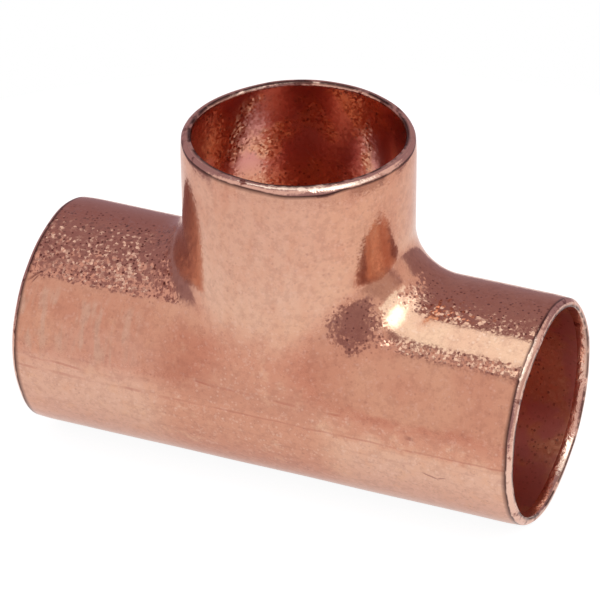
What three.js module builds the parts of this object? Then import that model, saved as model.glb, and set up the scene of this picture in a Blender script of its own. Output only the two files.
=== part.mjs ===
// Equal tee for soldered copper tube, 1/2 inch size, bulge-formed from one piece of copper tube.
// The run lies along X and the branch rises along +Z. Each of the three ends is an open cup that
// a tube slides into as far as a low ledge. The origin is on the plane the tee stands on, straight
// below the point where the centre lines of the run and the branch cross.
import * as THREE from 'three';
import { ParametricGeometry } from 'three/addons/geometries/ParametricGeometry.js';
import { mergeGeometries, mergeVertices } from 'three/addons/utils/BufferGeometryUtils.js';

// Cups, in millimetres
const TUBE_DIAMETER = 15.875;
const SOLDER_GAP = 0.05; // between the tube and the cup, all round
const CUP_RADIUS = TUBE_DIAMETER / 2 + SOLDER_GAP;
const CUP_DEPTH = 12.7;
const CUP_WALL = 0.9;
const LEAD_IN_DEPTH = 0.8;
const LEAD_IN_WIDTH = 0.12; // how much wider the cup is at its mouth
const EDGE_ROUNDING = 0.25; // radius of the outer edge of each mouth

// Body between the cups. Each skin has its cylinder radius and the radii of its crotch arcs: at the
// top of the crotch, in the plane of both centre lines, and at the sides of the tee.
const OUTER_RADIUS = CUP_RADIUS + CUP_WALL;
const LEDGE_HEIGHT = 0.6;
const OUTSIDE = { radius: OUTER_RADIUS, crotchAtTop: 3.4, crotchAtSides: 4.8 };
const INSIDE = { radius: CUP_RADIUS - LEDGE_HEIGHT, crotchAtTop: 4.5, crotchAtSides: 4.5 };

// Arms: length is from the crossing of the centre lines to the mouth, ledge is where the cup ends
const RUN = arm(20.75);
const BRANCH = arm(19.8);

// Facets
const COLUMNS_PER_HALF_TURN = 36;
const ARC_STEPS = 6;
const EDGE_STEPS = 3;
const HALVINGS = 40; // enough to place a point to the last digit

const QUARTER_TURN = Math.PI / 2;
const MITRE_TURN = Math.PI / 4;

const COPPER = { color: 0xcf9580, metalness: 1, roughness: 0.35 };

function arm(length) {
  return { length, ledge: length - CUP_DEPTH };
}

// Every point of an arm is worked out in the arm's own frame: x runs along its centre line, away
// from the crossing, z points along the other arm, and the angle round the centre line is counted
// from z.
function around(x, radius, angle) {
  return new THREE.Vector3(x, radius * Math.sin(angle), radius * Math.cos(angle));
}

// Seen along y, a straight line of one cylinder meets a straight line of the other at a right
// angle, and an arc that touches both rounds the corner. A turn of 0 is the arc's end on this arm.
// At the mitre turn it is on the mitre plane, half-way to the other arm.
function crotchArc({ radius, crotchAtTop, crotchAtSides }, angle) {
  const arcRadius = THREE.MathUtils.lerp(crotchAtTop, crotchAtSides, Math.sin(angle) ** 2);
  const corner = radius * Math.cos(angle);
  return (turn) =>
    new THREE.Vector3(
      corner + arcRadius * (1 - Math.sin(turn)),
      radius * Math.sin(angle),
      corner + arcRadius * (1 - Math.cos(turn)),
    );
}

function arcPoints(arc, firstTurn) {
  const points = [];
  for (let step = 0; step <= ARC_STEPS; step++) {
    points.push(arc(THREE.MathUtils.lerp(firstTurn, MITRE_TURN, step / ARC_STEPS)));
  }
  return points;
}

// Near the crotch the inside flares wider than the cup before it reaches the ledge, so the cup
// takes away the first part of the arc. The result is the turn at which the arc is whole again.
function turnWhereCupEnds(arc, ledge) {
  const isInsideCup = (point) => point.x > ledge && Math.hypot(point.y, point.z) < CUP_RADIUS;
  if (!isInsideCup(arc(0))) return 0;
  let inside = 0;
  let outside = MITRE_TURN;
  for (let i = 0; i < HALVINGS; i++) {
    const middle = (inside + outside) / 2;
    if (isInsideCup(arc(middle))) inside = middle;
    else outside = middle;
  }
  return outside;
}

// The rounded outer edge of a mouth, its flat face and the lead-in of its cup, from the outside in.
function mouthPoints(length, angle) {
  const points = [];
  for (let step = 0; step <= EDGE_STEPS; step++) {
    const turn = QUARTER_TURN * (step / EDGE_STEPS);
    const x = length - EDGE_ROUNDING * (1 - Math.sin(turn));
    const radius = OUTER_RADIUS - EDGE_ROUNDING * (1 - Math.cos(turn));
    points.push(around(x, radius, angle));
  }
  points.push(around(length, CUP_RADIUS + LEAD_IN_WIDTH, angle));
  points.push(around(length - LEAD_IN_DEPTH, CUP_RADIUS, angle));
  return points;
}

// One strip of the wall on the side of the other arm: from the mitre plane along the outside, over
// the mouth, and back along the inside to the mitre plane.
function mitredStrip({ length, ledge }, angle) {
  const insideArc = crotchArc(INSIDE, angle);
  const firstTurn = turnWhereCupEnds(insideArc, ledge);
  const arcStart = insideArc(firstTurn);
  const isLedgeWhole = firstTurn === 0;
  const isLedgeGone = arcStart.x > ledge;
  return [
    ...arcPoints(crotchArc(OUTSIDE, angle), 0).reverse(),
    ...mouthPoints(length, angle),
    isLedgeGone ? arcStart : around(ledge, CUP_RADIUS, angle),
    isLedgeWhole ? around(ledge, INSIDE.radius, angle) : arcStart,
    ...arcPoints(insideArc, firstTurn),
  ];
}

// One strip of the wall on the side away from the other arm, which ends at the middle of the tee.
function straightStrip({ length, ledge }, angle) {
  return [
    around(0, OUTER_RADIUS, angle),
    around(OUTSIDE.crotchAtSides, OUTER_RADIUS, angle),
    ...mouthPoints(length, angle),
    around(ledge, CUP_RADIUS, angle),
    around(ledge, INSIDE.radius, angle),
    around(INSIDE.crotchAtSides, INSIDE.radius, angle),
    around(0, INSIDE.radius, angle),
  ];
}

// Half a turn of strips side by side as one surface, turned from the arm's frame into its place.
function halfTurn(strip, size, firstAngle, placement) {
  const strips = [];
  for (let column = 0; column <= COLUMNS_PER_HALF_TURN; column++) {
    strips.push(strip(size, firstAngle + Math.PI * (column / COLUMNS_PER_HALF_TURN)));
  }
  const steps = strips[0].length - 1;
  const point = (u, v, target) =>
    target.copy(strips[Math.round(v * COLUMNS_PER_HALF_TURN)][Math.round(u * steps)]);
  return new ParametricGeometry(point, steps, COLUMNS_PER_HALF_TURN).applyMatrix4(placement);
}

// At each side of the tee the arcs of the two crotches leave a small flat field between them, which
// stands on the line where the upper and the lower half of the run meet. The first of the pair
// faces -Y and the second is the same field on the other side, facing +Y.
function sideFields(skin, y) {
  const toRightCrotch = arcPoints(crotchArc(skin, QUARTER_TURN), 0);
  const rightHalf = [
    ...toRightCrotch.map(({ x, z }) => new THREE.Vector2(x, z)),
    ...toRightCrotch.map(({ x, z }) => new THREE.Vector2(z, x)).reverse().slice(1),
  ];
  const leftHalf = rightHalf.map(({ x, y: height }) => new THREE.Vector2(-x, height)).reverse();
  const middle = new THREE.Vector2(0, 0);
  const outline = new THREE.Shape([...rightHalf, ...leftHalf.slice(1), middle]);
  const field = new THREE.ShapeGeometry(outline).rotateX(QUARTER_TURN).translate(0, y, 0);
  return [field, field.clone().rotateZ(Math.PI)];
}

// Joins surfaces that share their borders into one closed body. Strips that run into each other
// leave triangles without area, which are dropped.
function closedBody(surfaces) {
  const joined = mergeGeometries(surfaces);
  joined.deleteAttribute('normal');
  joined.deleteAttribute('uv');
  const body = mergeVertices(joined);
  const corners = body.index.array;
  const kept = [];
  for (let i = 0; i < corners.length; i += 3) {
    const [a, b, c] = corners.slice(i, i + 3);
    if (a !== b && b !== c && c !== a) kept.push(a, b, c);
  }
  body.setIndex(kept);
  body.computeVertexNormals();
  return body;
}

function teeGeometry() {
  const right = new THREE.Matrix4();
  const left = new THREE.Matrix4().makeRotationZ(Math.PI);
  const upFromLeft = new THREE.Matrix4().makeRotationY(-QUARTER_TURN);
  const upFromRight = left.clone().multiply(upFromLeft);
  return closedBody([
    halfTurn(mitredStrip, RUN, -QUARTER_TURN, right),
    halfTurn(mitredStrip, RUN, -QUARTER_TURN, left),
    halfTurn(straightStrip, RUN, QUARTER_TURN, right),
    halfTurn(straightStrip, RUN, QUARTER_TURN, left),
    halfTurn(mitredStrip, BRANCH, -QUARTER_TURN, upFromRight),
    halfTurn(mitredStrip, BRANCH, -QUARTER_TURN, upFromLeft),
    ...sideFields(OUTSIDE, -OUTSIDE.radius),
    ...sideFields(INSIDE, INSIDE.radius),
  ]);
}

const teeBody = new THREE.Mesh(teeGeometry(), new THREE.MeshStandardMaterial(COPPER));
teeBody.name = 'tee_body';
teeBody.position.z = OUTER_RADIUS;

const tee = new THREE.Group();
tee.add(teeBody);

export default tee;
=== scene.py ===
import math

import bmesh
import bpy
import numpy as np
from mathutils import Matrix, Vector, noise


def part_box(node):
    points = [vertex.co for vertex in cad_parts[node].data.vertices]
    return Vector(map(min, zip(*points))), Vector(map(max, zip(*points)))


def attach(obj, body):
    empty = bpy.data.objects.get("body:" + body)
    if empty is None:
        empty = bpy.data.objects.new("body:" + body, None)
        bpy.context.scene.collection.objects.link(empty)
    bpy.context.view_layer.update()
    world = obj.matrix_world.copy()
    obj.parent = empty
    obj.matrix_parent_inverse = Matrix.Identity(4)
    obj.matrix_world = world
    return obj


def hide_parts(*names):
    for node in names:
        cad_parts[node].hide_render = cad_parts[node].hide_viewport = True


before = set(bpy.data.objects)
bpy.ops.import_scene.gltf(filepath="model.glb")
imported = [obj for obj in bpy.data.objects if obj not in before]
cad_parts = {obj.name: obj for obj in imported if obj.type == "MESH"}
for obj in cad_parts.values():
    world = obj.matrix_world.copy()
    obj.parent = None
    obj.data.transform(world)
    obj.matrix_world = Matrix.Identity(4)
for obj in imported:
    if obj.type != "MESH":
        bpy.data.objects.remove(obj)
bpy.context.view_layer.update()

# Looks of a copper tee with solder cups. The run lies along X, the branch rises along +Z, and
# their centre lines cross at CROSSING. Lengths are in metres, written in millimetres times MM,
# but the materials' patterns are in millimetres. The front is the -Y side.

MM = 0.001
BODY_LOW, BODY_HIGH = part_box("tee_body")
OUTER_RADIUS = (BODY_HIGH.y - BODY_LOW.y) / 2
DIAMETER = 2 * OUTER_RADIUS
CROSSING = Vector((0, 0, BODY_LOW.z + OUTER_RADIUS))
ARM_LENGTH = BODY_HIGH.x  # half the run, from the crossing to a mouth
BRANCH_LENGTH = BODY_HIGH.z - CROSSING.z

# Wall, cups and crotch, as in the CAD model
CUP_WALL = 0.9 * MM
CUP_RADIUS = OUTER_RADIUS - CUP_WALL
CUP_DEPTH = 12.7 * MM
LEDGE_HEIGHT = 0.6 * MM
OUTSIDE = {"radius": OUTER_RADIUS, "top": 3.4 * MM, "sides": 4.8 * MM}
INSIDE = {"radius": CUP_RADIUS - LEDGE_HEIGHT, "top": 4.5 * MM, "sides": 4.5 * MM}

# Mouths, flared wider and rounded more than in the CAD model
RUN_LEAD_IN = 0.9 * MM  # depth of the flare inside a mouth
BRANCH_LEAD_IN = 0.35 * MM
LEAD_IN_WIDTH = 0.18 * MM
EDGE_ROUNDING = 0.34 * MM
EDGE_BLUNTNESS = 1.3  # 1 rounds the edge as a quarter circle, 2 cuts it straight

# What the making left uneven
MOUTH_WAVE = 0.2 * MM  # how far a mouth is out of square
MOUTH_WAVES, FACE_WAVES = 1.4, 3.5  # how quickly the wave and the tilt change round a mouth
MOUTH_BEND = 3.0 * MM  # length next to a mouth over which the wave dies out
FACE_TILT = 0.1 * MM  # how far the outer corner of a face leans back in places
BEVEL = 0.36 * MM  # how far the front of the branch's face leans back
BEVEL_START, BEVEL_END = math.radians(-79), math.radians(-50)  # the branch's front is at -90
BEVEL_ENDS = math.radians(7)  # half the turn over which the bevel runs out
TAPER = 0.1 * MM  # how far the skin drops towards a mouth
TAPER_LENGTH = 1.8 * MM
SKIN_WAVE = 0.06 * MM  # depth of the soft dents in the skin
SKIN_WAVE_SIZE = 6.0 * MM

# Mesh fineness
COLUMNS = 84  # strips in half a turn
ARC_STEPS = 12
SKIN_STEPS = 40
EDGE_STEPS = 8
FACE_STEPS = 4
LEAD_IN_STEPS = 4
CUP_STEPS = 26
LEDGE_STEPS = 2
FIELD_STEPS = 10
HALVINGS = 40  # steps of the search for the place where a cup ends
WELD = 1e-6

MITRE_TURN = math.pi / 4
OUTSIDE_SKIN, EDGE, FACE, INSIDE_SKIN = 0, 1, 2, 3


# ---------------------------------------------------------------- shape of the wall


def around(x, radius, angle):
    """A point of an arm in the arm's own frame: x along the centre line, angle from the z axis."""
    return np.array((x, radius * math.sin(angle), radius * math.cos(angle)))


def crotch_point(skin, angle, turn):
    """A point of the arc that rounds the corner between the two arms."""
    share = math.sin(angle) ** 2
    arc_radius = skin["top"] + (skin["sides"] - skin["top"]) * share
    corner = skin["radius"] * math.cos(angle)
    return np.array(
        (
            corner + arc_radius * (1 - math.sin(turn)),
            skin["radius"] * math.sin(angle),
            corner + arc_radius * (1 - math.cos(turn)),
        )
    )


def line(first, last, steps):
    """Points from first up to, and without, last."""
    return [first + (last - first) * (i / steps) for i in range(steps)]


def turn_where_cup_ends(angle, ledge):
    """The turn of the inner arc from which the cup no longer takes it away."""

    def in_cup(turn):
        x, y, z = crotch_point(INSIDE, angle, turn)
        return x > ledge and math.hypot(y, z) < CUP_RADIUS

    if not in_cup(0):
        return 0
    low, high = 0, MITRE_TURN
    for _ in range(HALVINGS):
        middle = (low + high) / 2
        if in_cup(middle):
            low = middle
        else:
            high = middle
    return high


def mouth_points(length, lead_in_depth, angle):
    """(points, materials) round the mouth: rounded outer edge, flat face, flared lead-in."""
    edge = []
    for step in range(EDGE_STEPS):
        turn = math.pi / 2 * step / EDGE_STEPS
        back = EDGE_ROUNDING * (1 - math.sin(turn) ** EDGE_BLUNTNESS)
        down = EDGE_ROUNDING * (1 - math.cos(turn) ** EDGE_BLUNTNESS)
        edge.append(around(length - back, OUTER_RADIUS - down, angle))
    face_outside = around(length, OUTER_RADIUS - EDGE_ROUNDING, angle)
    face_inside = around(length, CUP_RADIUS + LEAD_IN_WIDTH, angle)
    lead_in = []
    for step in range(LEAD_IN_STEPS):
        share = step / LEAD_IN_STEPS
        flare = LEAD_IN_WIDTH * (1 - share) ** 2
        lead_in.append(around(length - lead_in_depth * share, CUP_RADIUS + flare, angle))
    points = edge + line(face_outside, face_inside, FACE_STEPS) + lead_in
    materials = [EDGE] * EDGE_STEPS + [FACE] * FACE_STEPS + [EDGE] * LEAD_IN_STEPS
    return points, materials


def mitred_strip(length, lead_in_depth, angle):
    """One strip on the side of the other arm, from mitre plane to mitre plane."""
    ledge = length - CUP_DEPTH
    arc = [crotch_point(OUTSIDE, angle, MITRE_TURN * (1 - i / ARC_STEPS)) for i in range(ARC_STEPS)]
    skin_start = crotch_point(OUTSIDE, angle, 0)
    skin_end = around(length - EDGE_ROUNDING, OUTER_RADIUS, angle)
    outside = arc + line(skin_start, skin_end, SKIN_STEPS)
    mouth, mouth_materials = mouth_points(length, lead_in_depth, angle)

    first_turn = turn_where_cup_ends(angle, ledge)
    arc_start = crotch_point(INSIDE, angle, first_turn)
    ledge_gone = arc_start[0] > ledge
    cup_start = around(length - lead_in_depth, CUP_RADIUS, angle)
    cup_end = arc_start if ledge_gone else around(ledge, CUP_RADIUS, angle)
    bore_start = arc_start if first_turn > 0 else around(ledge, INSIDE["radius"], angle)
    turns = [first_turn + (MITRE_TURN - first_turn) * i / ARC_STEPS for i in range(ARC_STEPS + 1)]
    bore = [crotch_point(INSIDE, angle, turn) for turn in turns]
    inside = line(cup_start, cup_end, CUP_STEPS) + line(cup_end, bore_start, LEDGE_STEPS)
    inside += line(bore_start, bore[0], LEDGE_STEPS) + bore
    points = outside + mouth + inside
    materials = [OUTSIDE_SKIN] * len(outside) + mouth_materials + [INSIDE_SKIN] * len(inside)
    return points, materials


def straight_strip(length, lead_in_depth, angle):
    """One strip on the side away from the other arm, which ends at the middle of the run."""
    ledge = length - CUP_DEPTH
    outer = [around(x, OUTER_RADIUS, angle) for x in (0, OUTSIDE["sides"], length - EDGE_ROUNDING)]
    outside = line(outer[0], outer[1], FIELD_STEPS) + line(outer[1], outer[2], SKIN_STEPS)
    mouth, mouth_materials = mouth_points(length, lead_in_depth, angle)
    cup_start = around(length - lead_in_depth, CUP_RADIUS, angle)
    cup_end = around(ledge, CUP_RADIUS, angle)
    bore = [around(x, INSIDE["radius"], angle) for x in (ledge, INSIDE["sides"], 0)]
    inside = line(cup_start, cup_end, CUP_STEPS) + line(cup_end, bore[0], LEDGE_STEPS)
    inside += line(bore[0], bore[1], LEDGE_STEPS) + line(bore[1], bore[2], FIELD_STEPS)
    inside += [bore[2]]
    points = outside + mouth + inside
    materials = [OUTSIDE_SKIN] * len(outside) + mouth_materials + [INSIDE_SKIN] * len(inside)
    return points, materials


# ---------------------------------------------------------------- mesh


def add_grid(mesh, rows, materials, flip):
    """Joins rows of points into quads; materials are one for each gap between points."""
    verts = [[mesh.verts.new(point) for point in row] for row in rows]
    for row, following in zip(verts, verts[1:]):
        for i in range(len(row) - 1):
            corners = [row[i], row[i + 1], following[i + 1], following[i]]
            face = mesh.faces.new(corners[::-1] if flip else corners)
            face.material_index = materials[i]
            face.smooth = True


def half_turn(mesh, strip, size, first_angle, placement):
    """Half a turn of strips side by side, turned from the arm's frame into its place."""
    rows = []
    for column in range(COLUMNS + 1):
        points, materials = strip(*size, first_angle + math.pi * column / COLUMNS)
        rows.append([placement @ Vector(point) for point in points])
    add_grid(mesh, rows, materials, flip=False)


def side_field(mesh, skin, side, material):
    """The flat field between the crotches on one side of the tee, as level rows of points."""
    turns = [MITRE_TURN * i / ARC_STEPS for i in range(ARC_STEPS + 1)]
    lower = [crotch_point(skin, math.pi / 2, turn)[[0, 2]] for turn in turns]
    upper = [point[::-1] for point in lower[-2::-1]]
    rows = []
    for half_width, height in lower + upper:
        xs = np.linspace(-half_width, half_width, 2 * FIELD_STEPS + 1)
        rows.append([(x, side * skin["radius"], height) for x in xs])
    flip = (side > 0) == (material == OUTSIDE_SKIN)
    add_grid(mesh, rows, [material] * (2 * FIELD_STEPS), flip=not flip)


def tee_mesh():
    mesh = bmesh.new()
    run = (ARM_LENGTH, RUN_LEAD_IN)
    branch = (BRANCH_LENGTH, BRANCH_LEAD_IN)
    right = Matrix.Identity(4)
    left = Matrix.Rotation(math.pi, 4, "Z")
    up_from_left = Matrix.Rotation(-math.pi / 2, 4, "Y")
    up_from_right = left @ up_from_left
    for placement in (right, left):
        half_turn(mesh, mitred_strip, run, -math.pi / 2, placement)
        half_turn(mesh, straight_strip, run, math.pi / 2, placement)
    for placement in (up_from_right, up_from_left):
        half_turn(mesh, mitred_strip, branch, -math.pi / 2, placement)
    for side in (-1, 1):
        side_field(mesh, OUTSIDE, side, OUTSIDE_SKIN)
        side_field(mesh, INSIDE, side, INSIDE_SKIN)
    bmesh.ops.remove_doubles(mesh, verts=mesh.verts, dist=WELD)
    bmesh.ops.dissolve_degenerate(mesh, edges=mesh.edges, dist=WELD)
    bmesh.ops.recalc_face_normals(mesh, faces=mesh.faces)
    return mesh


# ---------------------------------------------------------------- marks and unevenness

# Edges of the grain, as (angle, softness) in degrees from the top of the run towards the front
GRAIN_START, GRAIN_END = (0, 8), (43.5, 1.5)
POLISH_START, POLISH_END = (21, 2), (38.5, 1)  # a smooth stripe on the right arm
LEFT_GRAIN, RIGHT_GRAIN = 1.0, 0.55  # the left arm's skin is the coarser one
RIGHT_GRAIN_STARTS = 8.7 * MM
RIGHT_GRAIN_SOFTNESS = 1 * MM  # half the length over which the right arm's grain begins
BRANCH_SOFTNESS = 0.5 * MM  # half the length over which the grain ends at the branch
CROTCH_GRAIN = 0.2  # a slightly coarse patch on the front of the right crotch
CROTCH_PATCH = (6.9 * MM, -5.6 * MM, 7.7 * MM)
CROTCH_PATCH_SIZE = 2.7 * MM
CROTCH_PATCH_CORE = 0.7 * CROTCH_PATCH_SIZE
# Widths of the painted shade: dark lines along the outer and inner edges of each mouth
OUTER_EDGE_SHADE_WIDTH = 0.09 * MM
INNER_EDGE_SHADE_WIDTH = 0.3 * MM


def smooth_step(value, start, end):
    """0 before start, 1 past end, and smooth between them. start may be above end."""
    share = np.clip((value - start) / (end - start), 0, 1)
    return share * share * (3 - 2 * share)


def stripe(turn, first, last):
    """1 between two (angle, softness) edges, 0 outside them."""
    start, end = first[0], last[0]
    rises = smooth_step(turn, start - first[1], start + first[1])
    return rises * smooth_step(turn, end + last[1], end - last[1])


def arms():
    """Each arm as (direction of its centre line, a direction across it, length, noise seed)."""
    return (
        ((1, 0, 0), (0, 1, 0), ARM_LENGTH, 3.0),
        ((-1, 0, 0), (0, 1, 0), ARM_LENGTH, 7.0),
        ((0, 0, 1), (1, 0, 0), BRANCH_LENGTH, 11.0),
    )


def arm_places(places, along, across):
    """(distance along the arm, radius, angle round the arm) of each place."""
    up = np.cross(along, across)
    u, v = places @ np.array(across), places @ up
    return places @ np.array(along), np.hypot(u, v), np.arctan2(v, u)


def add_attribute(data, name, values):
    attribute = data.attributes.new(name, "FLOAT", "POINT")
    attribute.data.foreach_set("value", values.astype(np.float32))


def mark_grain(data, places):
    """The attribute grain: how coarse the skin is, mainly on the front side of the run's top."""
    x, y, z = places.T
    turn = np.degrees(np.arctan2(-y, z))
    coarse = stripe(turn, GRAIN_START, GRAIN_END)
    on_run = smooth_step(z - np.abs(x), BRANCH_SOFTNESS, -BRANCH_SOFTNESS)
    right = RIGHT_GRAIN * (1 - stripe(turn, POLISH_START, POLISH_END))
    past_start = x - RIGHT_GRAIN_STARTS
    right *= smooth_step(past_start, -RIGHT_GRAIN_SOFTNESS, RIGHT_GRAIN_SOFTNESS)
    amount = np.where(x < 0, LEFT_GRAIN, right)
    from_patch = np.linalg.norm(places - np.array(CROTCH_PATCH), axis=1)
    patch = CROTCH_GRAIN * smooth_step(from_patch, CROTCH_PATCH_SIZE, CROTCH_PATCH_CORE)
    add_attribute(data, "grain", np.maximum(coarse * on_run * amount, patch))


def mark_edge_shade(data, places):
    """An attribute of painted shade: 1 along the two corners of each mouth, where dark lines stand
    in for the edges' shade.
    """
    edge_shade = np.zeros(len(places))
    for along, across, length, _ in arms():
        distance, radius, _ = arm_places(places, along, across)
        corners = (
            (length - EDGE_ROUNDING, OUTER_RADIUS, OUTER_EDGE_SHADE_WIDTH),
            (length, CUP_RADIUS + LEAD_IN_WIDTH, INNER_EDGE_SHADE_WIDTH),
        )
        for corner_distance, corner_radius, width in corners:
            away = np.hypot(distance - corner_distance, radius - corner_radius)
            edge_shade = np.maximum(edge_shade, smooth_step(away, width, width / 4))
    add_attribute(data, "edge_shade", edge_shade)


def ring_waves(angle, seed, waves):
    """A smooth random value from 0 to 1 for each angle, which closes on itself over a turn."""
    turns = np.radians(np.arange(360))
    values = [noise.noise(Vector((waves * math.cos(t), waves * math.sin(t), seed))) for t in turns]
    values = (np.array(values) - min(values)) / (max(values) - min(values))
    return np.interp(np.degrees(angle), np.arange(360), values, period=360)


def bend_mouths(places):
    """Sets the mouths a little out of square and tapers the skin next to them."""
    for along, across, length, seed in arms():
        distance, radius, angle = arm_places(places, along, across)
        through_wall = np.clip((radius - CUP_RADIUS) / CUP_WALL, 0, 1)
        wave = MOUTH_WAVE * ring_waves(angle, seed, waves=MOUTH_WAVES)
        wave += FACE_TILT * ring_waves(angle, seed + 0.5, waves=FACE_WAVES) * through_wall
        is_branch = along[2] == 1
        if is_branch:
            pressed = smooth_step(angle, BEVEL_START - BEVEL_ENDS, BEVEL_START + BEVEL_ENDS)
            pressed *= smooth_step(angle, BEVEL_END + BEVEL_ENDS, BEVEL_END - BEVEL_ENDS)
            wave = wave * (1 - pressed) + BEVEL * pressed * through_wall
        near = smooth_step(distance, length - MOUTH_BEND, length - MOUTH_BEND / 3)
        places -= np.outer(wave * near, along)
        into_taper = np.clip((distance - length + TAPER_LENGTH) / TAPER_LENGTH, 0, 1)
        drop = TAPER * into_taper**2 * through_wall
        centre_line = np.outer(places @ np.array(along), along)
        places -= (places - centre_line) * (drop / np.maximum(radius, MM))[:, None]


def dent_skin(data, places):
    """Presses soft shallow dents into the skin."""
    normals = np.zeros(places.size)
    data.vertices.foreach_get("normal", normals)
    size = SKIN_WAVE_SIZE
    depth = np.array([0.5 + 0.5 * noise.noise(Vector(place) / size) for place in places])
    places -= normals.reshape(-1, 3) * (SKIN_WAVE * depth)[:, None]


def build_tee():
    mesh = tee_mesh()
    data = bpy.data.meshes.new("copper_tee")
    mesh.to_mesh(data)
    mesh.free()
    places = np.zeros(len(data.vertices) * 3)
    data.vertices.foreach_get("co", places)
    places = places.reshape(-1, 3)
    mark_grain(data, places)
    mark_edge_shade(data, places)
    bend_mouths(places)
    dent_skin(data, places)
    places += np.array(CROSSING)
    data.vertices.foreach_set("co", places.ravel())
    data.update()
    tee = bpy.data.objects.new("copper_tee", data)
    bpy.context.scene.collection.objects.link(tee)
    return tee


# ---------------------------------------------------------------- node helpers


def put(tree, socket, value):
    """Links a socket to an input, or sets the input's value."""
    if isinstance(value, bpy.types.NodeSocket):
        tree.links.new(value, socket)
    elif isinstance(value, tuple) and socket.type == "RGBA":
        socket.default_value = (*value, 1)
    else:
        socket.default_value = value


def math_node(tree, operation, *values):
    node = tree.nodes.new("ShaderNodeMath")
    node.operation = operation
    for socket, value in zip(node.inputs, values):
        put(tree, socket, value)
    return node.outputs[0]


def vector_node(tree, operation, *values):
    node = tree.nodes.new("ShaderNodeVectorMath")
    node.operation = operation
    second = "Scale" if operation == "SCALE" else 1
    for name, value in zip((0, second), values):
        put(tree, node.inputs[name], value)
    gives_number = operation in ("LENGTH", "DISTANCE")
    return node.outputs["Value" if gives_number else "Vector"]


def product(tree, *values):
    total = values[0]
    for value in values[1:]:
        total = math_node(tree, "MULTIPLY", total, value)
    return total


def ramp(tree, share, low, high):
    """low where the share is 0, high where it is 1, and evenly between them."""
    return math_node(tree, "MULTIPLY_ADD", share, high - low, low)


def fade(tree, value, start, end):
    """0 before start, 1 past end, and smooth between them. start may be above end."""
    node = tree.nodes.new("ShaderNodeMapRange")
    node.interpolation_type = "SMOOTHSTEP"
    put(tree, node.inputs["Value"], value)
    node.inputs["From Min"].default_value = start
    node.inputs["From Max"].default_value = end
    return node.outputs[0]


def between(tree, value, low, high, softness):
    """1 between low and high, 0 outside them, with soft edges."""
    rises = fade(tree, value, low - softness, low + softness)
    falls = fade(tree, value, high + softness, high - softness)
    return product(tree, rises, falls)


def mix_colors(tree, share, first, second):
    node = tree.nodes.new("ShaderNodeMix")
    node.data_type = "RGBA"
    colors = [socket for socket in node.inputs if socket.type == "RGBA"]
    put(tree, node.inputs["Factor"], share)
    put(tree, colors[0], first)
    put(tree, colors[1], second)
    return next(socket for socket in node.outputs if socket.type == "RGBA")


def tint(tree, color, share, film, strength=1.0):
    """The color with a film over it, as thick as the share times the strength."""
    return mix_colors(tree, product(tree, share, strength), color, film)


def separate(tree, vector):
    node = tree.nodes.new("ShaderNodeSeparateXYZ")
    put(tree, node.inputs[0], vector)
    return node.outputs["X"], node.outputs["Y"], node.outputs["Z"]


def combine(tree, x, y, z=0.0):
    node = tree.nodes.new("ShaderNodeCombineXYZ")
    for socket, value in zip(node.inputs, (x, y, z)):
        put(tree, socket, value)
    return node.outputs[0]


def coordinates(tree, kind="Object"):
    return tree.nodes.new("ShaderNodeTexCoord").outputs[kind]


def attribute_value(tree, name):
    node = tree.nodes.new("ShaderNodeAttribute")
    node.attribute_name = name
    return node.outputs["Fac"]


def seen_by_camera(tree):
    return tree.nodes.new("ShaderNodeLightPath").outputs["Is Camera Ray"]


# ---------------------------------------------------------------- patterns

SPECK_RADIUS = 0.15, 0.45  # smallest and largest, as shares of a cell
SPECK_EDGE = -0.05, 0.1
CHANCE_SOFTNESS = 0.02
MIDDLE_GREY = (0.5, 0.5, 0.5)


def millimetres(tree):
    """Place in millimetres from the middle of the plane the tee stands on."""
    return vector_node(tree, "MULTIPLY", coordinates(tree), (1 / MM, 1 / MM, 1 / MM))


def patches(tree, vector, size, detail=2.0, roughness=0.5):
    """Soft random patches about size millimetres across, as a value round 0.5."""
    node = tree.nodes.new("ShaderNodeTexNoise")
    put(tree, node.inputs["Vector"], vector)
    node.inputs["Scale"].default_value = 1 / size
    node.inputs["Detail"].default_value = detail
    node.inputs["Roughness"].default_value = roughness
    return node.outputs["Fac"]


def marks(tree, vector, ends, **pattern):
    """Patches as marks: 0 at the first end of their values, 1 at the second."""
    return fade(tree, patches(tree, vector, **pattern), *ends)


def cells(tree, vector, size):
    node = tree.nodes.new("ShaderNodeTexVoronoi")
    put(tree, node.inputs["Vector"], vector)
    node.inputs["Scale"].default_value = 1 / size
    return node


def spots(tree, vector, size, share):
    """1 in round specks, one in each cell of size millimetres for the given share of cells."""
    node = cells(tree, vector, size)
    chance, size_chance, _ = separate(tree, node.outputs["Color"])
    radius = ramp(tree, size_chance, *SPECK_RADIUS)
    inside = math_node(tree, "SUBTRACT", radius, node.outputs["Distance"])
    chosen = fade(tree, chance, share + CHANCE_SOFTNESS, share - CHANCE_SOFTNESS)
    return product(tree, fade(tree, inside, *SPECK_EDGE), chosen)


def facets(tree, vector, size, tilt):
    """The normal of a skin of small flat grains, each tilted its own way."""
    grain_color = cells(tree, vector, size).outputs["Color"]
    lean = vector_node(tree, "SUBTRACT", grain_color, MIDDLE_GREY)
    lean = vector_node(tree, "SCALE", lean, tilt)
    normal = tree.nodes.new("ShaderNodeNewGeometry").outputs["Normal"]
    return vector_node(tree, "NORMALIZE", vector_node(tree, "ADD", normal, lean))


def bump(tree, height, depth, normal=None):
    node = tree.nodes.new("ShaderNodeBump")
    node.inputs["Strength"].default_value = 1
    put(tree, node.inputs["Distance"], depth)
    put(tree, node.inputs["Height"], height)
    if normal is not None:
        put(tree, node.inputs["Normal"], normal)
    return node.outputs[0]


# ---------------------------------------------------------------- places on the run's skin

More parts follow.
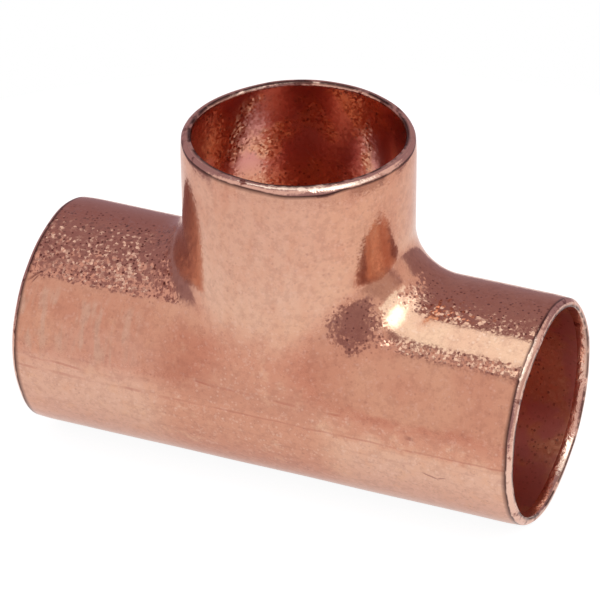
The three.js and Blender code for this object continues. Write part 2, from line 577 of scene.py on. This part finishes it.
# Lengths in mm
WOBBLE_SIZE = 2.5
TURN_WOBBLE = 4.0  # how far the edges of the films wander
LINE_WOBBLE, NICK_WOBBLE = 0.35, 0.6
FILMS_MIDDLE = -1.0  # the place along the run that the films lie round
PALE_DROP = 14.0  # how many degrees lower the pale film begins on the right arm
PALE_DROP_ALONG = 0, 8
SCRATCH_END = 0.3  # softness of a scratch's ends

# Scratches on the front of the run: ends as (mm along the run, degrees from the top), half width
DRAW_LINES = (
    ((-21, 91.5), (-7, 91.8), 0.17),
    ((-7, 91.8), (21, 91), 0.11),
    ((-19, 85.5), (-11, 87), 0.13),
    ((-5, 79), (7, 80.5), 0.13),
)
NICKS = (
    ((-19.9, 47), (-19.0, 41.5), 0.12),
    ((-19.6, 48.5), (-19.2, 44), 0.08),
    ((13.7, 103), (14.8, 105), 0.1),
    ((14.8, 105), (15.5, 103.5), 0.08),
    ((12.4, 84), (12.9, 84.5), 0.2),
)


def unrolled(tree, wobble=0.0):
    """(place along the run, way round the run from its top to the front), in millimetres."""
    place = millimetres(tree)
    x, y, z = separate(tree, place)
    forward = math_node(tree, "MULTIPLY", y, -1.0)
    up = math_node(tree, "SUBTRACT", z, OUTER_RADIUS / MM)
    way = product(tree, math_node(tree, "ARCTAN2", forward, up), OUTER_RADIUS / MM)
    if wobble:
        sway = math_node(tree, "SUBTRACT", patches(tree, place, WOBBLE_SIZE, detail=3), 0.5)
        way = math_node(tree, "MULTIPLY_ADD", sway, wobble, way)
    return x, way


def skin_places(tree):
    """Places on the run's skin by name, for region: mm along the run and degrees round it."""
    along, _ = unrolled(tree)
    _, wobbly_way = unrolled(tree, TURN_WOBBLE)
    turn = product(tree, wobbly_way, MM / OUTER_RADIUS * 180 / math.pi)
    on_right = fade(tree, along, *PALE_DROP_ALONG)
    return {
        "along": along,
        "from_middle": math_node(tree, "ABSOLUTE", math_node(tree, "SUBTRACT", along, FILMS_MIDDLE)),
        "turn": turn,
        "dropped_turn": math_node(tree, "MULTIPLY_ADD", on_right, -PALE_DROP, turn),
    }


def region(tree, skin, limits):
    """1 on a part of the run's skin. Limits are a fade (none, full) or a band with its softness."""
    share = 1.0
    for name, ends in limits.items():
        edge = between if len(ends) == 3 else fade
        share = product(tree, edge(tree, skin[name], *ends), share)
    return share


def scratch(tree, along, way, mark):
    """1 on a straight scratch between two places of the unrolled skin, and 0 beside it."""
    (x0, t0), (x1, t1), width = mark
    per_degree = math.radians(1) * OUTER_RADIUS / MM
    start, step = (x0, t0 * per_degree), (x1 - x0, (t1 - t0) * per_degree)
    length = math.hypot(*step)
    u = math_node(tree, "SUBTRACT", along, start[0])
    v = math_node(tree, "SUBTRACT", way, start[1])
    down = math_node(tree, "MULTIPLY", u, step[0] / length)
    down = math_node(tree, "MULTIPLY_ADD", v, step[1] / length, down)
    beside = math_node(tree, "MULTIPLY", u, -step[1] / length)
    beside = math_node(tree, "MULTIPLY_ADD", v, step[0] / length, beside)
    near = fade(tree, math_node(tree, "ABSOLUTE", beside), width, width / 3)
    return product(tree, near, between(tree, down, 0, length, SCRATCH_END))


def all_scratches(tree, scratches, wobble):
    along, way = unrolled(tree, wobble)
    total = 0.0
    for mark in scratches:
        total = math_node(tree, "MAXIMUM", total, scratch(tree, along, way, mark))
    return total


# ---------------------------------------------------------------- copper outside

BARE_COPPER = (0.735, 0.43, 0.295)
WARM_COPPER = (0.69, 0.37, 0.255)
PALE_COPPER = (0.71, 0.415, 0.31)
BROWN_COPPER = (0.625, 0.30, 0.205)
BRANCH_COPPER = (0.76, 0.49, 0.365)
DARK_COPPER = (0.26, 0.10, 0.08)
LIGHT_COPPER = (0.80, 0.53, 0.43)
GRAIN_COPPER = (0.70, 0.365, 0.27)
LINE_COPPER = (0.42, 0.15, 0.11)
WIPED_COPPER = (0.69, 0.475, 0.36)
# Painted shade for the top of the left arm
TOP_SHADE_COPPER = (0.63, 0.32, 0.24)
# Painted shade: the dark lines along the edges of the mouths
EDGE_SHADE_COLOR = (0.09, 0.04, 0.035)

# Random patterns, with sizes in mm and ends as in marks
CLOUDS = {"size": 4.0, "detail": 4, "ends": (0.35, 0.65)}
MOTTLES = {"size": 1.4, "detail": 4, "roughness": 0.65}
PALE_MOTTLES, BROWN_MOTTLES = (0.25, 0.55), (0.2, 0.5)
BRANCH_STREAKS = {"size": 1.5, "detail": 4, "roughness": 0.6, "ends": (0.15, 0.6)}
WIPES = {"size": 0.8, "detail": 4, "ends": (0.46, 0.64)}
DRAWN = {"size": 0.45, "detail": 2, "ends": (0.46, 0.3)}
FINE_DARK = {"size": 0.6, "detail": 4, "roughness": 0.7, "ends": (0.56, 0.36)}
FINE_LIGHT = {"size": 0.45, "detail": 3, "roughness": 0.7, "ends": (0.54, 0.7)}
BREAKS_IN_LINES = {"size": 2.4, "detail": 3, "ends": (0.3, 0.6)}
UNEVENNESS = {"size": 0.8, "detail": 3, "roughness": 0.6}
ACROSS_WIPES, ALONG_DRAWN, UP_STREAKS = 0.22, 0.08, 0.4  # shrink the pattern, to stretch marks

# Parts of the run's skin, as in region
PALE_LOW = {"dropped_turn": (74, 86), "from_middle": (5, 11)}
PALE_LEFT = {"turn": (46, 70), "along": (-17, -7, 2)}
BROWN_MIDDLE = {"turn": (45, 62), "from_middle": (9, 5)}
BROWN_RIGHT = {"turn": (79, 92, 3), "along": (3, 8)}
BROWN_LEFT = {"turn": (44, 62, 4), "along": (-7, -10)}
WIPED = {"along": (-9, -12), "turn": (50, 80, 5)}
DRAWN_BELOW = {"turn": (60, 80)}
# Painted shade on the top of the left arm
LEFT_TOP_SHADE = {"turn": (-60, 6, 8), "along": (-8, -10)}
# Painted shade in the front crease where the branch meets the run
CREASE_SHADE = {"turn": (73, 88, 5), "from_middle": (9, 5)}
BRANCH_FILM_UP = 4, 11  # mm above the crossing
BRANCH_FILM_ACROSS = 7.5, 2.5  # mm from the branch's centre line to the right

# Specks as (cell in mm, share of the cells)
PITS, DARK_SPECKS, LIGHT_SPECKS = (0.27, 0.45), (0.27, 0.2), (0.3, 0.25)

# How strong each film or mark is, up to 1
PALE_LEFT_SHARE, BROWN_LEFT_SHARE = 0.8, 0.5
WIPED_SHARE, DRAWN_SHARE, TOP_SHADE_SHARE, CREASE_SHADE_SHARE = 0.8, 0.1, 0.8, 0.12
FINE_DARK_SHARE, FINE_LIGHT_SHARE = 0.18, 0.3
DARK_SPECK_SHARE, LIGHT_SPECK_SHARE = 0.17, 0.3
LINE_SHARE, NICK_SHARE, GRAIN_SHARE = 0.4, 0.6, 0.7
PIT_REACH = 0.28  # a low power, so that weak grain is pitted nearly as much as strong grain

GRAIN_SIZE = 0.21  # mm
SCRATCH_DEPTH = 0.02 * MM

# Smooth skin first, coarsest grain second
SKIN_ROUGHNESS = 0.13, 0.31
SKIN_TILT = 0.025, 0.645
SKIN_BUMP = 0.012 * MM, 0.092 * MM


def pale_film(tree, skin, mottles):
    """Pale low on both arms, and higher up on the left one."""
    left = product(tree, region(tree, skin, PALE_LEFT), PALE_LEFT_SHARE)
    film = math_node(tree, "MAXIMUM", region(tree, skin, PALE_LOW), left)
    return product(tree, film, fade(tree, mottles, *PALE_MOTTLES))


def brown_film(tree, skin, mottles):
    """Brown below the branch, in a band on the right arm and in a weak one on the left arm."""
    left = product(tree, region(tree, skin, BROWN_LEFT), BROWN_LEFT_SHARE)
    film = region(tree, skin, BROWN_MIDDLE)
    film = math_node(tree, "MAXIMUM", film, region(tree, skin, BROWN_RIGHT))
    film = math_node(tree, "MAXIMUM", film, left)
    return product(tree, film, fade(tree, mottles, *BROWN_MOTTLES))


def branch_film(tree, place):
    """Pale upright streaks on the branch, except on its right side."""
    x, y, z = separate(tree, place)
    first, full = (OUTER_RADIUS / MM + up for up in BRANCH_FILM_UP)
    film = product(tree, fade(tree, z, first, full), fade(tree, x, *BRANCH_FILM_ACROSS))
    stretched = combine(tree, x, y, product(tree, z, UP_STREAKS))
    return product(tree, film, marks(tree, stretched, **BRANCH_STREAKS))


def wipes_and_drawing(tree, skin, color):
    """Wipe streaks round the left arm, and the faint lines that drawing left along the run."""
    along, way = unrolled(tree)
    round_run = combine(tree, along, product(tree, way, ACROSS_WIPES))
    wiped = product(tree, marks(tree, round_run, **WIPES), region(tree, skin, WIPED))
    color = tint(tree, color, wiped, WIPED_COPPER, WIPED_SHARE)
    along_run = combine(tree, product(tree, along, ALONG_DRAWN), way)
    drawn = product(tree, marks(tree, along_run, **DRAWN), region(tree, skin, DRAWN_BELOW))
    return tint(tree, color, drawn, DARK_COPPER, DRAWN_SHARE)


def skin_color(tree, place):
    """Bare copper with films of age, wipes, drawing lines, fine mottling and specks, and painted
    shade on the left arm's top and in the front crease.
    """
    skin = skin_places(tree)
    mottles = patches(tree, place, **MOTTLES)
    color = mix_colors(tree, marks(tree, place, **CLOUDS), WARM_COPPER, BARE_COPPER)
    color = tint(tree, color, pale_film(tree, skin, mottles), PALE_COPPER)
    color = tint(tree, color, brown_film(tree, skin, mottles), BROWN_COPPER)
    color = tint(tree, color, branch_film(tree, place), BRANCH_COPPER)
    color = wipes_and_drawing(tree, skin, color)
    color = tint(tree, color, marks(tree, place, **FINE_DARK), DARK_COPPER, FINE_DARK_SHARE)
    color = tint(tree, color, marks(tree, place, **FINE_LIGHT), LIGHT_COPPER, FINE_LIGHT_SHARE)
    # Painted shade on the top of the left arm
    color = tint(tree, color, region(tree, skin, LEFT_TOP_SHADE), TOP_SHADE_COPPER, TOP_SHADE_SHARE)
    # Painted shade in the front crease between the branch and the run
    color = tint(tree, color, region(tree, skin, CREASE_SHADE), DARK_COPPER, CREASE_SHADE_SHARE)
    color = tint(tree, color, spots(tree, place, *DARK_SPECKS), DARK_COPPER, DARK_SPECK_SHARE)
    return tint(tree, color, spots(tree, place, *LIGHT_SPECKS), LIGHT_COPPER, LIGHT_SPECK_SHARE)


def outside_looks(tree, place):
    """The skin, with its grain, pits, scratches, and painted shade along the mouths' edges."""
    grain = attribute_value(tree, "grain")
    color = tint(tree, skin_color(tree, place), grain, GRAIN_COPPER, GRAIN_SHARE)
    pitted = math_node(tree, "POWER", grain, PIT_REACH)
    color = tint(tree, color, product(tree, spots(tree, place, *PITS), pitted), DARK_COPPER)
    lines = all_scratches(tree, DRAW_LINES, LINE_WOBBLE)
    lines = product(tree, lines, marks(tree, place, **BREAKS_IN_LINES), LINE_SHARE)
    color = tint(tree, color, lines, LINE_COPPER)
    nicks = product(tree, all_scratches(tree, NICKS, NICK_WOBBLE), NICK_SHARE)
    color = tint(tree, color, nicks, DARK_COPPER)
    # Painted shade: dark lines along the edges of the mouths
    color = tint(tree, color, attribute_value(tree, "edge_shade"), EDGE_SHADE_COLOR)

    normal = facets(tree, place, GRAIN_SIZE, ramp(tree, grain, *SKIN_TILT))
    uneven = patches(tree, place, **UNEVENNESS)
    normal = bump(tree, uneven, ramp(tree, grain, *SKIN_BUMP), normal)
    scratches = math_node(tree, "MAXIMUM", lines, nicks)
    normal = bump(tree, scratches, -SCRATCH_DEPTH, normal)
    return color, ramp(tree, grain, *SKIN_ROUGHNESS), normal


# ---------------------------------------------------------------- copper of the mouths

STAINS = {"size": 1.2, "detail": 4, "roughness": 0.6, "ends": (0.44, 0.32)}
# Gaps in the painted shade along the mouths' edges
BREAKS_IN_EDGE_SHADE = {"size": 1.0, "detail": 2, "ends": (0.3, 0.5)}
EDGE_ROUGHNESS, FACE_ROUGHNESS = 0.18, 0.3
EDGE_BUMP, FACE_BUMP = 0.06 * MM, 0.15 * MM
SAW_SIZE, SAW_TILT = 0.3, 0.3  # size in mm


def mouth_color(tree, place):
    """Light copper with a few stains, and dark lines of painted shade along the edges."""
    color = tint(tree, LIGHT_COPPER, marks(tree, place, **STAINS), DARK_COPPER)
    breaks = marks(tree, place, **BREAKS_IN_EDGE_SHADE)
    return tint(tree, color, product(tree, attribute_value(tree, "edge_shade"), breaks), EDGE_SHADE_COLOR)


def edge_looks(tree, place):
    """Edges rounded and flared by the tools, smoother than the faces."""
    normal = bump(tree, patches(tree, place, **UNEVENNESS), EDGE_BUMP)
    return mouth_color(tree, place), EDGE_ROUGHNESS, normal


def face_looks(tree, place):
    """The cut faces of the mouths, rough from the saw."""
    normal = facets(tree, place, SAW_SIZE, SAW_TILT)
    normal = bump(tree, patches(tree, place, **UNEVENNESS), FACE_BUMP, normal)
    return mouth_color(tree, place), FACE_ROUGHNESS, normal


# ---------------------------------------------------------------- copper inside

RED_COPPER = (0.68, 0.30, 0.262)
ORANGE_COPPER = (0.74, 0.37, 0.235)
COARSE_PATCHES = {"size": 3.0, "detail": 3, "ends": (0.45, 0.62)}
COARSE_HEIGHT = 16, 21.5, 1.5  # a coarse belt in the branch, as from, to and softness in mm
ROUGHER_BELOW = 20, 14  # the run is rougher inside than the branch, in mm above the floor
INSIDE_ROUGHNESS = 0.2, 0.35
INSIDE_SPECKS = 0.32, 0.45  # cell in mm, share of the cells
INSIDE_GRAIN_SIZE = 0.2  # mm

# Smooth first, coarse second
INSIDE_SPECK_SHARE = 0.25, 0.7
INSIDE_TILT = 0.04, 0.14


def inside_looks(tree, place):
    """Redder than the outside, and speckled."""
    _, _, height = separate(tree, place)
    belt = between(tree, height, *COARSE_HEIGHT)
    coarse = math_node(tree, "MAXIMUM", marks(tree, place, **COARSE_PATCHES), belt)
    color = mix_colors(tree, coarse, RED_COPPER, ORANGE_COPPER)
    share = ramp(tree, coarse, *INSIDE_SPECK_SHARE)
    specks = product(tree, spots(tree, place, *INSIDE_SPECKS), share)
    color = tint(tree, color, specks, DARK_COPPER)
    roughness = ramp(tree, fade(tree, height, *ROUGHER_BELOW), *INSIDE_ROUGHNESS)
    normal = facets(tree, place, INSIDE_GRAIN_SIZE, ramp(tree, coarse, *INSIDE_TILT))
    return color, roughness, normal


# ---------------------------------------------------------------- materials of the tee


def copper(name, looks):
    """A metallic material. looks gives its colour, roughness and normal."""
    material = bpy.data.materials.new(name)
    material.use_nodes = True
    tree = material.node_tree
    shader = tree.nodes["Principled BSDF"]
    shader.inputs["Metallic"].default_value = 1
    color, roughness, normal = looks(tree, millimetres(tree))
    put(tree, shader.inputs["Base Color"], color)
    put(tree, shader.inputs["Roughness"], roughness)
    put(tree, shader.inputs["Normal"], normal)
    return material


def dress(tee):
    """Adds the materials in the order of OUTSIDE_SKIN, EDGE, FACE and INSIDE_SKIN."""
    tee.data.materials.append(copper("copper_outside", outside_looks))
    tee.data.materials.append(copper("copper_edge", edge_looks))
    tee.data.materials.append(copper("copper_face", face_looks))
    tee.data.materials.append(copper("copper_inside", inside_looks))


# ---------------------------------------------------------------- room

WHITE = (1.0, 1.0, 1.0)
WALL_LIGHT = (0.86, 0.71, 0.68)
SIDE_LIGHT = (0.62, 0.48, 0.46)
DARK_LIGHT = (0.37, 0.25, 0.28)

# Directions in degrees: azimuth from the front to the right, elevation from level upwards.
# Bands are (from, to, softness), fades (none, full).
FRONT_WALL = -69, 75, 4
SIDE_WALL = 75, 108, 4
WALLS_BELOW = 56.5, 51.5
HIGH_WINDOW = 84, 150, 3
HIGH_WINDOW_ABOVE = 22, 27
TALL_WINDOW = 112, 132, 3
CAMERA_SHADE = {"azimuth": 41, "elevation": 12, "lean": -50, "long": 29, "short": 19}
SHADE_CORNERS = 0.25
SHADE_EDGE = 1.05, 0.95


def camera_shade(tree, azimuth, elevation):
    """The dark shape of a camera and its stand, as the copper mirrors it."""
    across = math_node(tree, "SUBTRACT", azimuth, CAMERA_SHADE["azimuth"])
    up = math_node(tree, "SUBTRACT", elevation, CAMERA_SHADE["elevation"])
    lean = math.radians(CAMERA_SHADE["lean"])
    parts = []
    for turned, size in ((lean, "long"), (lean + math.pi / 2, "short")):
        part = math_node(tree, "MULTIPLY", across, math.cos(turned) / CAMERA_SHADE[size])
        part = math_node(tree, "MULTIPLY_ADD", up, math.sin(turned) / CAMERA_SHADE[size], part)
        parts.append(math_node(tree, "ABSOLUTE", part))
    distance = math_node(tree, "SMOOTH_MAX", *parts, SHADE_CORNERS)
    return fade(tree, distance, *SHADE_EDGE)


def build_world():
    """White for the camera. The copper mirrors a bright wall in front and a dark room behind."""
    world = bpy.data.worlds.new("studio")
    world.use_nodes = True
    tree = world.node_tree
    tree.nodes.clear()
    x, y, z = separate(tree, coordinates(tree, "Generated"))
    degrees = 180 / math.pi
    forward = math_node(tree, "MULTIPLY", y, -1.0)
    azimuth = product(tree, math_node(tree, "ARCTAN2", x, forward), degrees)
    elevation = product(tree, math_node(tree, "ARCSINE", z), degrees)

    below_top = fade(tree, elevation, *WALLS_BELOW)
    side = product(tree, between(tree, azimuth, *SIDE_WALL), below_top)
    color = mix_colors(tree, side, DARK_LIGHT, SIDE_LIGHT)
    window = between(tree, azimuth, *HIGH_WINDOW)
    window = product(tree, window, fade(tree, elevation, *HIGH_WINDOW_ABOVE))
    window = math_node(tree, "MAXIMUM", window, between(tree, azimuth, *TALL_WINDOW))
    color = tint(tree, color, product(tree, window, below_top), WALL_LIGHT)
    front = product(tree, between(tree, azimuth, *FRONT_WALL), below_top)
    color = tint(tree, color, front, WALL_LIGHT)
    color = tint(tree, color, camera_shade(tree, azimuth, elevation), DARK_LIGHT)
    color = tint(tree, color, seen_by_camera(tree), WHITE)

    shader = tree.nodes.new("ShaderNodeBackground")
    put(tree, shader.inputs["Color"], color)
    output = tree.nodes.new("ShaderNodeOutputWorld")
    tree.links.new(shader.outputs[0], output.inputs["Surface"])
    bpy.context.scene.world = world


# ---------------------------------------------------------------- floor

FLOOR_COLOR = (0.35, 0.35, 0.35)
FLOOR_GLOW = (0.79, 0.79, 0.77)
# Glow of the painted shadow under the tee, and of the painted pool of light far out
PAINTED_SHADOW_GLOW = (0.73, 0.63, 0.60)
FAR_GLOW = (0.66, 0.53, 0.50)
SEEN_GLOW = (0.93, 0.93, 0.93)
FLOOR_RADIUS = 3.7 * DIAMETER
FLOOR_SIDES = 96
FAR = 1.2 * DIAMETER, 3.4 * DIAMETER
# Size of the painted shadow under the tee
PAINTED_SHADOW_ACROSS = 0.75 * DIAMETER, 0.25 * DIAMETER
PAINTED_SHADOW_ALONG = 1.8 * DIAMETER, 1.1 * DIAMETER


def floor_material():
    """Pale and softly glowing like a lit table. The glow holds a painted pool of light, warmer and
    darker far out, and a painted shadow under the tee; the camera sees the glow even.
    """
    material = bpy.data.materials.new("pale_floor")
    material.use_nodes = True
    tree = material.node_tree
    shader = tree.nodes["Principled BSDF"]
    put(tree, shader.inputs["Base Color"], FLOOR_COLOR)
    shader.inputs["Roughness"].default_value = 1
    shader.inputs["Specular IOR Level"].default_value = 0
    place = coordinates(tree)
    x, y, _ = separate(tree, place)
    # A painted pool of light, dimmer far out
    far = fade(tree, vector_node(tree, "LENGTH", place), *FAR)
    glow = mix_colors(tree, far, FLOOR_GLOW, FAR_GLOW)
    # A painted shadow under the tee
    across = fade(tree, math_node(tree, "ABSOLUTE", y), *PAINTED_SHADOW_ACROSS)
    along = fade(tree, math_node(tree, "ABSOLUTE", x), *PAINTED_SHADOW_ALONG)
    glow = tint(tree, glow, product(tree, across, along), PAINTED_SHADOW_GLOW)
    glow = tint(tree, glow, seen_by_camera(tree), SEEN_GLOW)
    put(tree, shader.inputs["Emission Color"], glow)
    shader.inputs["Emission Strength"].default_value = 1
    return material


def build_floor():
    """A round table top. Past its edge the camera sees the white background."""
    mesh = bmesh.new()
    bmesh.ops.create_circle(mesh, cap_ends=True, segments=FLOOR_SIDES, radius=FLOOR_RADIUS)
    data = bpy.data.meshes.new("floor")
    mesh.to_mesh(data)
    mesh.free()
    data.materials.append(floor_material())
    floor = bpy.data.objects.new("floor", data)
    floor.location.z = BODY_LOW.z
    bpy.context.scene.collection.objects.link(floor)


# ---------------------------------------------------------------- softbox

# Corners of the softbox over the tee, its lamp and its fades, in tee diameters
SOFTBOX_HEIGHT = 4.0
SOFTBOX_CORNERS = (
    (-3.0, 0.35),
    (-3.0, -0.9),
    (-0.4, -1.42),
    (1.1, -2.1),
    (3.2, -2.8),
    (6.4, -3.3),
    (7.4, -0.6),
    (6.5, 1.4),
    (0.4, 0.42),
)
LAMP_PLACE = (2.55, -1.5, 0)
LAMP_GLOW = 1.6, 0.5  # from the lamp
DIM_LEFT_END = -2.0, -0.9
SOFTBOX_LIGHT = (1.32, 1.50, 1.50)
LAMP_LIGHT = (3.6, 3.9, 3.9)


def softbox_material():
    """Bright, with a hot lamp behind the cloth, and dimmer towards the left end."""
    material = bpy.data.materials.new("softbox")
    material.use_nodes = True
    tree = material.node_tree
    tree.nodes.clear()
    place = coordinates(tree)
    x, _, _ = separate(tree, place)
    bright = fade(tree, x, *(share * DIAMETER for share in DIM_LEFT_END))
    color = mix_colors(tree, bright, DARK_LIGHT, SOFTBOX_LIGHT)
    lamp_place = tuple(share * DIAMETER for share in LAMP_PLACE)
    from_lamp = vector_node(tree, "DISTANCE", place, lamp_place)
    lamp = fade(tree, from_lamp, *(share * DIAMETER for share in LAMP_GLOW))
    shader = tree.nodes.new("ShaderNodeEmission")
    put(tree, shader.inputs["Color"], tint(tree, color, lamp, LAMP_LIGHT))
    output = tree.nodes.new("ShaderNodeOutputMaterial")
    tree.links.new(shader.outputs[0], output.inputs["Surface"])
    return material


def build_softbox():
    """A softbox above and to the right. Its image is the bright band on the right arm."""
    data = bpy.data.meshes.new("softbox")
    corners = [(x * DIAMETER, y * DIAMETER, 0) for x, y in SOFTBOX_CORNERS]
    data.from_pydata(corners, [], [tuple(range(len(corners)))])
    data.materials.append(softbox_material())
    softbox = bpy.data.objects.new("softbox", data)
    softbox.location = CROSSING + Vector((0, 0, SOFTBOX_HEIGHT * DIAMETER))
    softbox.visible_camera = False
    bpy.context.scene.collection.objects.link(softbox)


# ---------------------------------------------------------------- camera

AZIMUTH = math.radians(23.632)
ELEVATION = math.radians(31.339)
ROLL = math.radians(-0.47)
CAMERA_DISTANCE = 17.789 * DIAMETER
SENSOR = 36.0
LENS = 245.58
SHIFT = (-0.00059, 0.0961)
CLIP = (0.01, 100)


def build_camera():
    data = bpy.data.cameras.new("camera")
    data.sensor_width = SENSOR
    data.lens = LENS
    data.shift_x, data.shift_y = SHIFT
    data.clip_start, data.clip_end = CLIP
    back = Vector(
        (
            math.sin(AZIMUTH) * math.cos(ELEVATION),
            -math.cos(AZIMUTH) * math.cos(ELEVATION),
            math.sin(ELEVATION),
        )
    )
    camera = bpy.data.objects.new("camera", data)
    camera.rotation_mode = "QUATERNION"
    upright = back.to_track_quat("Z", "Y")
    camera.rotation_quaternion = upright @ Matrix.Rotation(ROLL, 3, "Z").to_quaternion()
    camera.location = CROSSING + back * CAMERA_DISTANCE
    bpy.context.scene.collection.objects.link(camera)
    bpy.context.scene.camera = camera


# ---------------------------------------------------------------- scene

LIGHT_BOUNCES = 24  # enough for light to find its way out of the bores

tee = build_tee()
dress(tee)
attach(tee, "root")
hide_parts("tee_body")

build_world()
build_floor()
build_softbox()
build_camera()

scene = bpy.context.scene
scene.view_settings.view_transform = "Standard"
scene.cycles.max_bounces = LIGHT_BOUNCES
scene.cycles.glossy_bounces = LIGHT_BOUNCES
scene.cycles.caustics_reflective = False
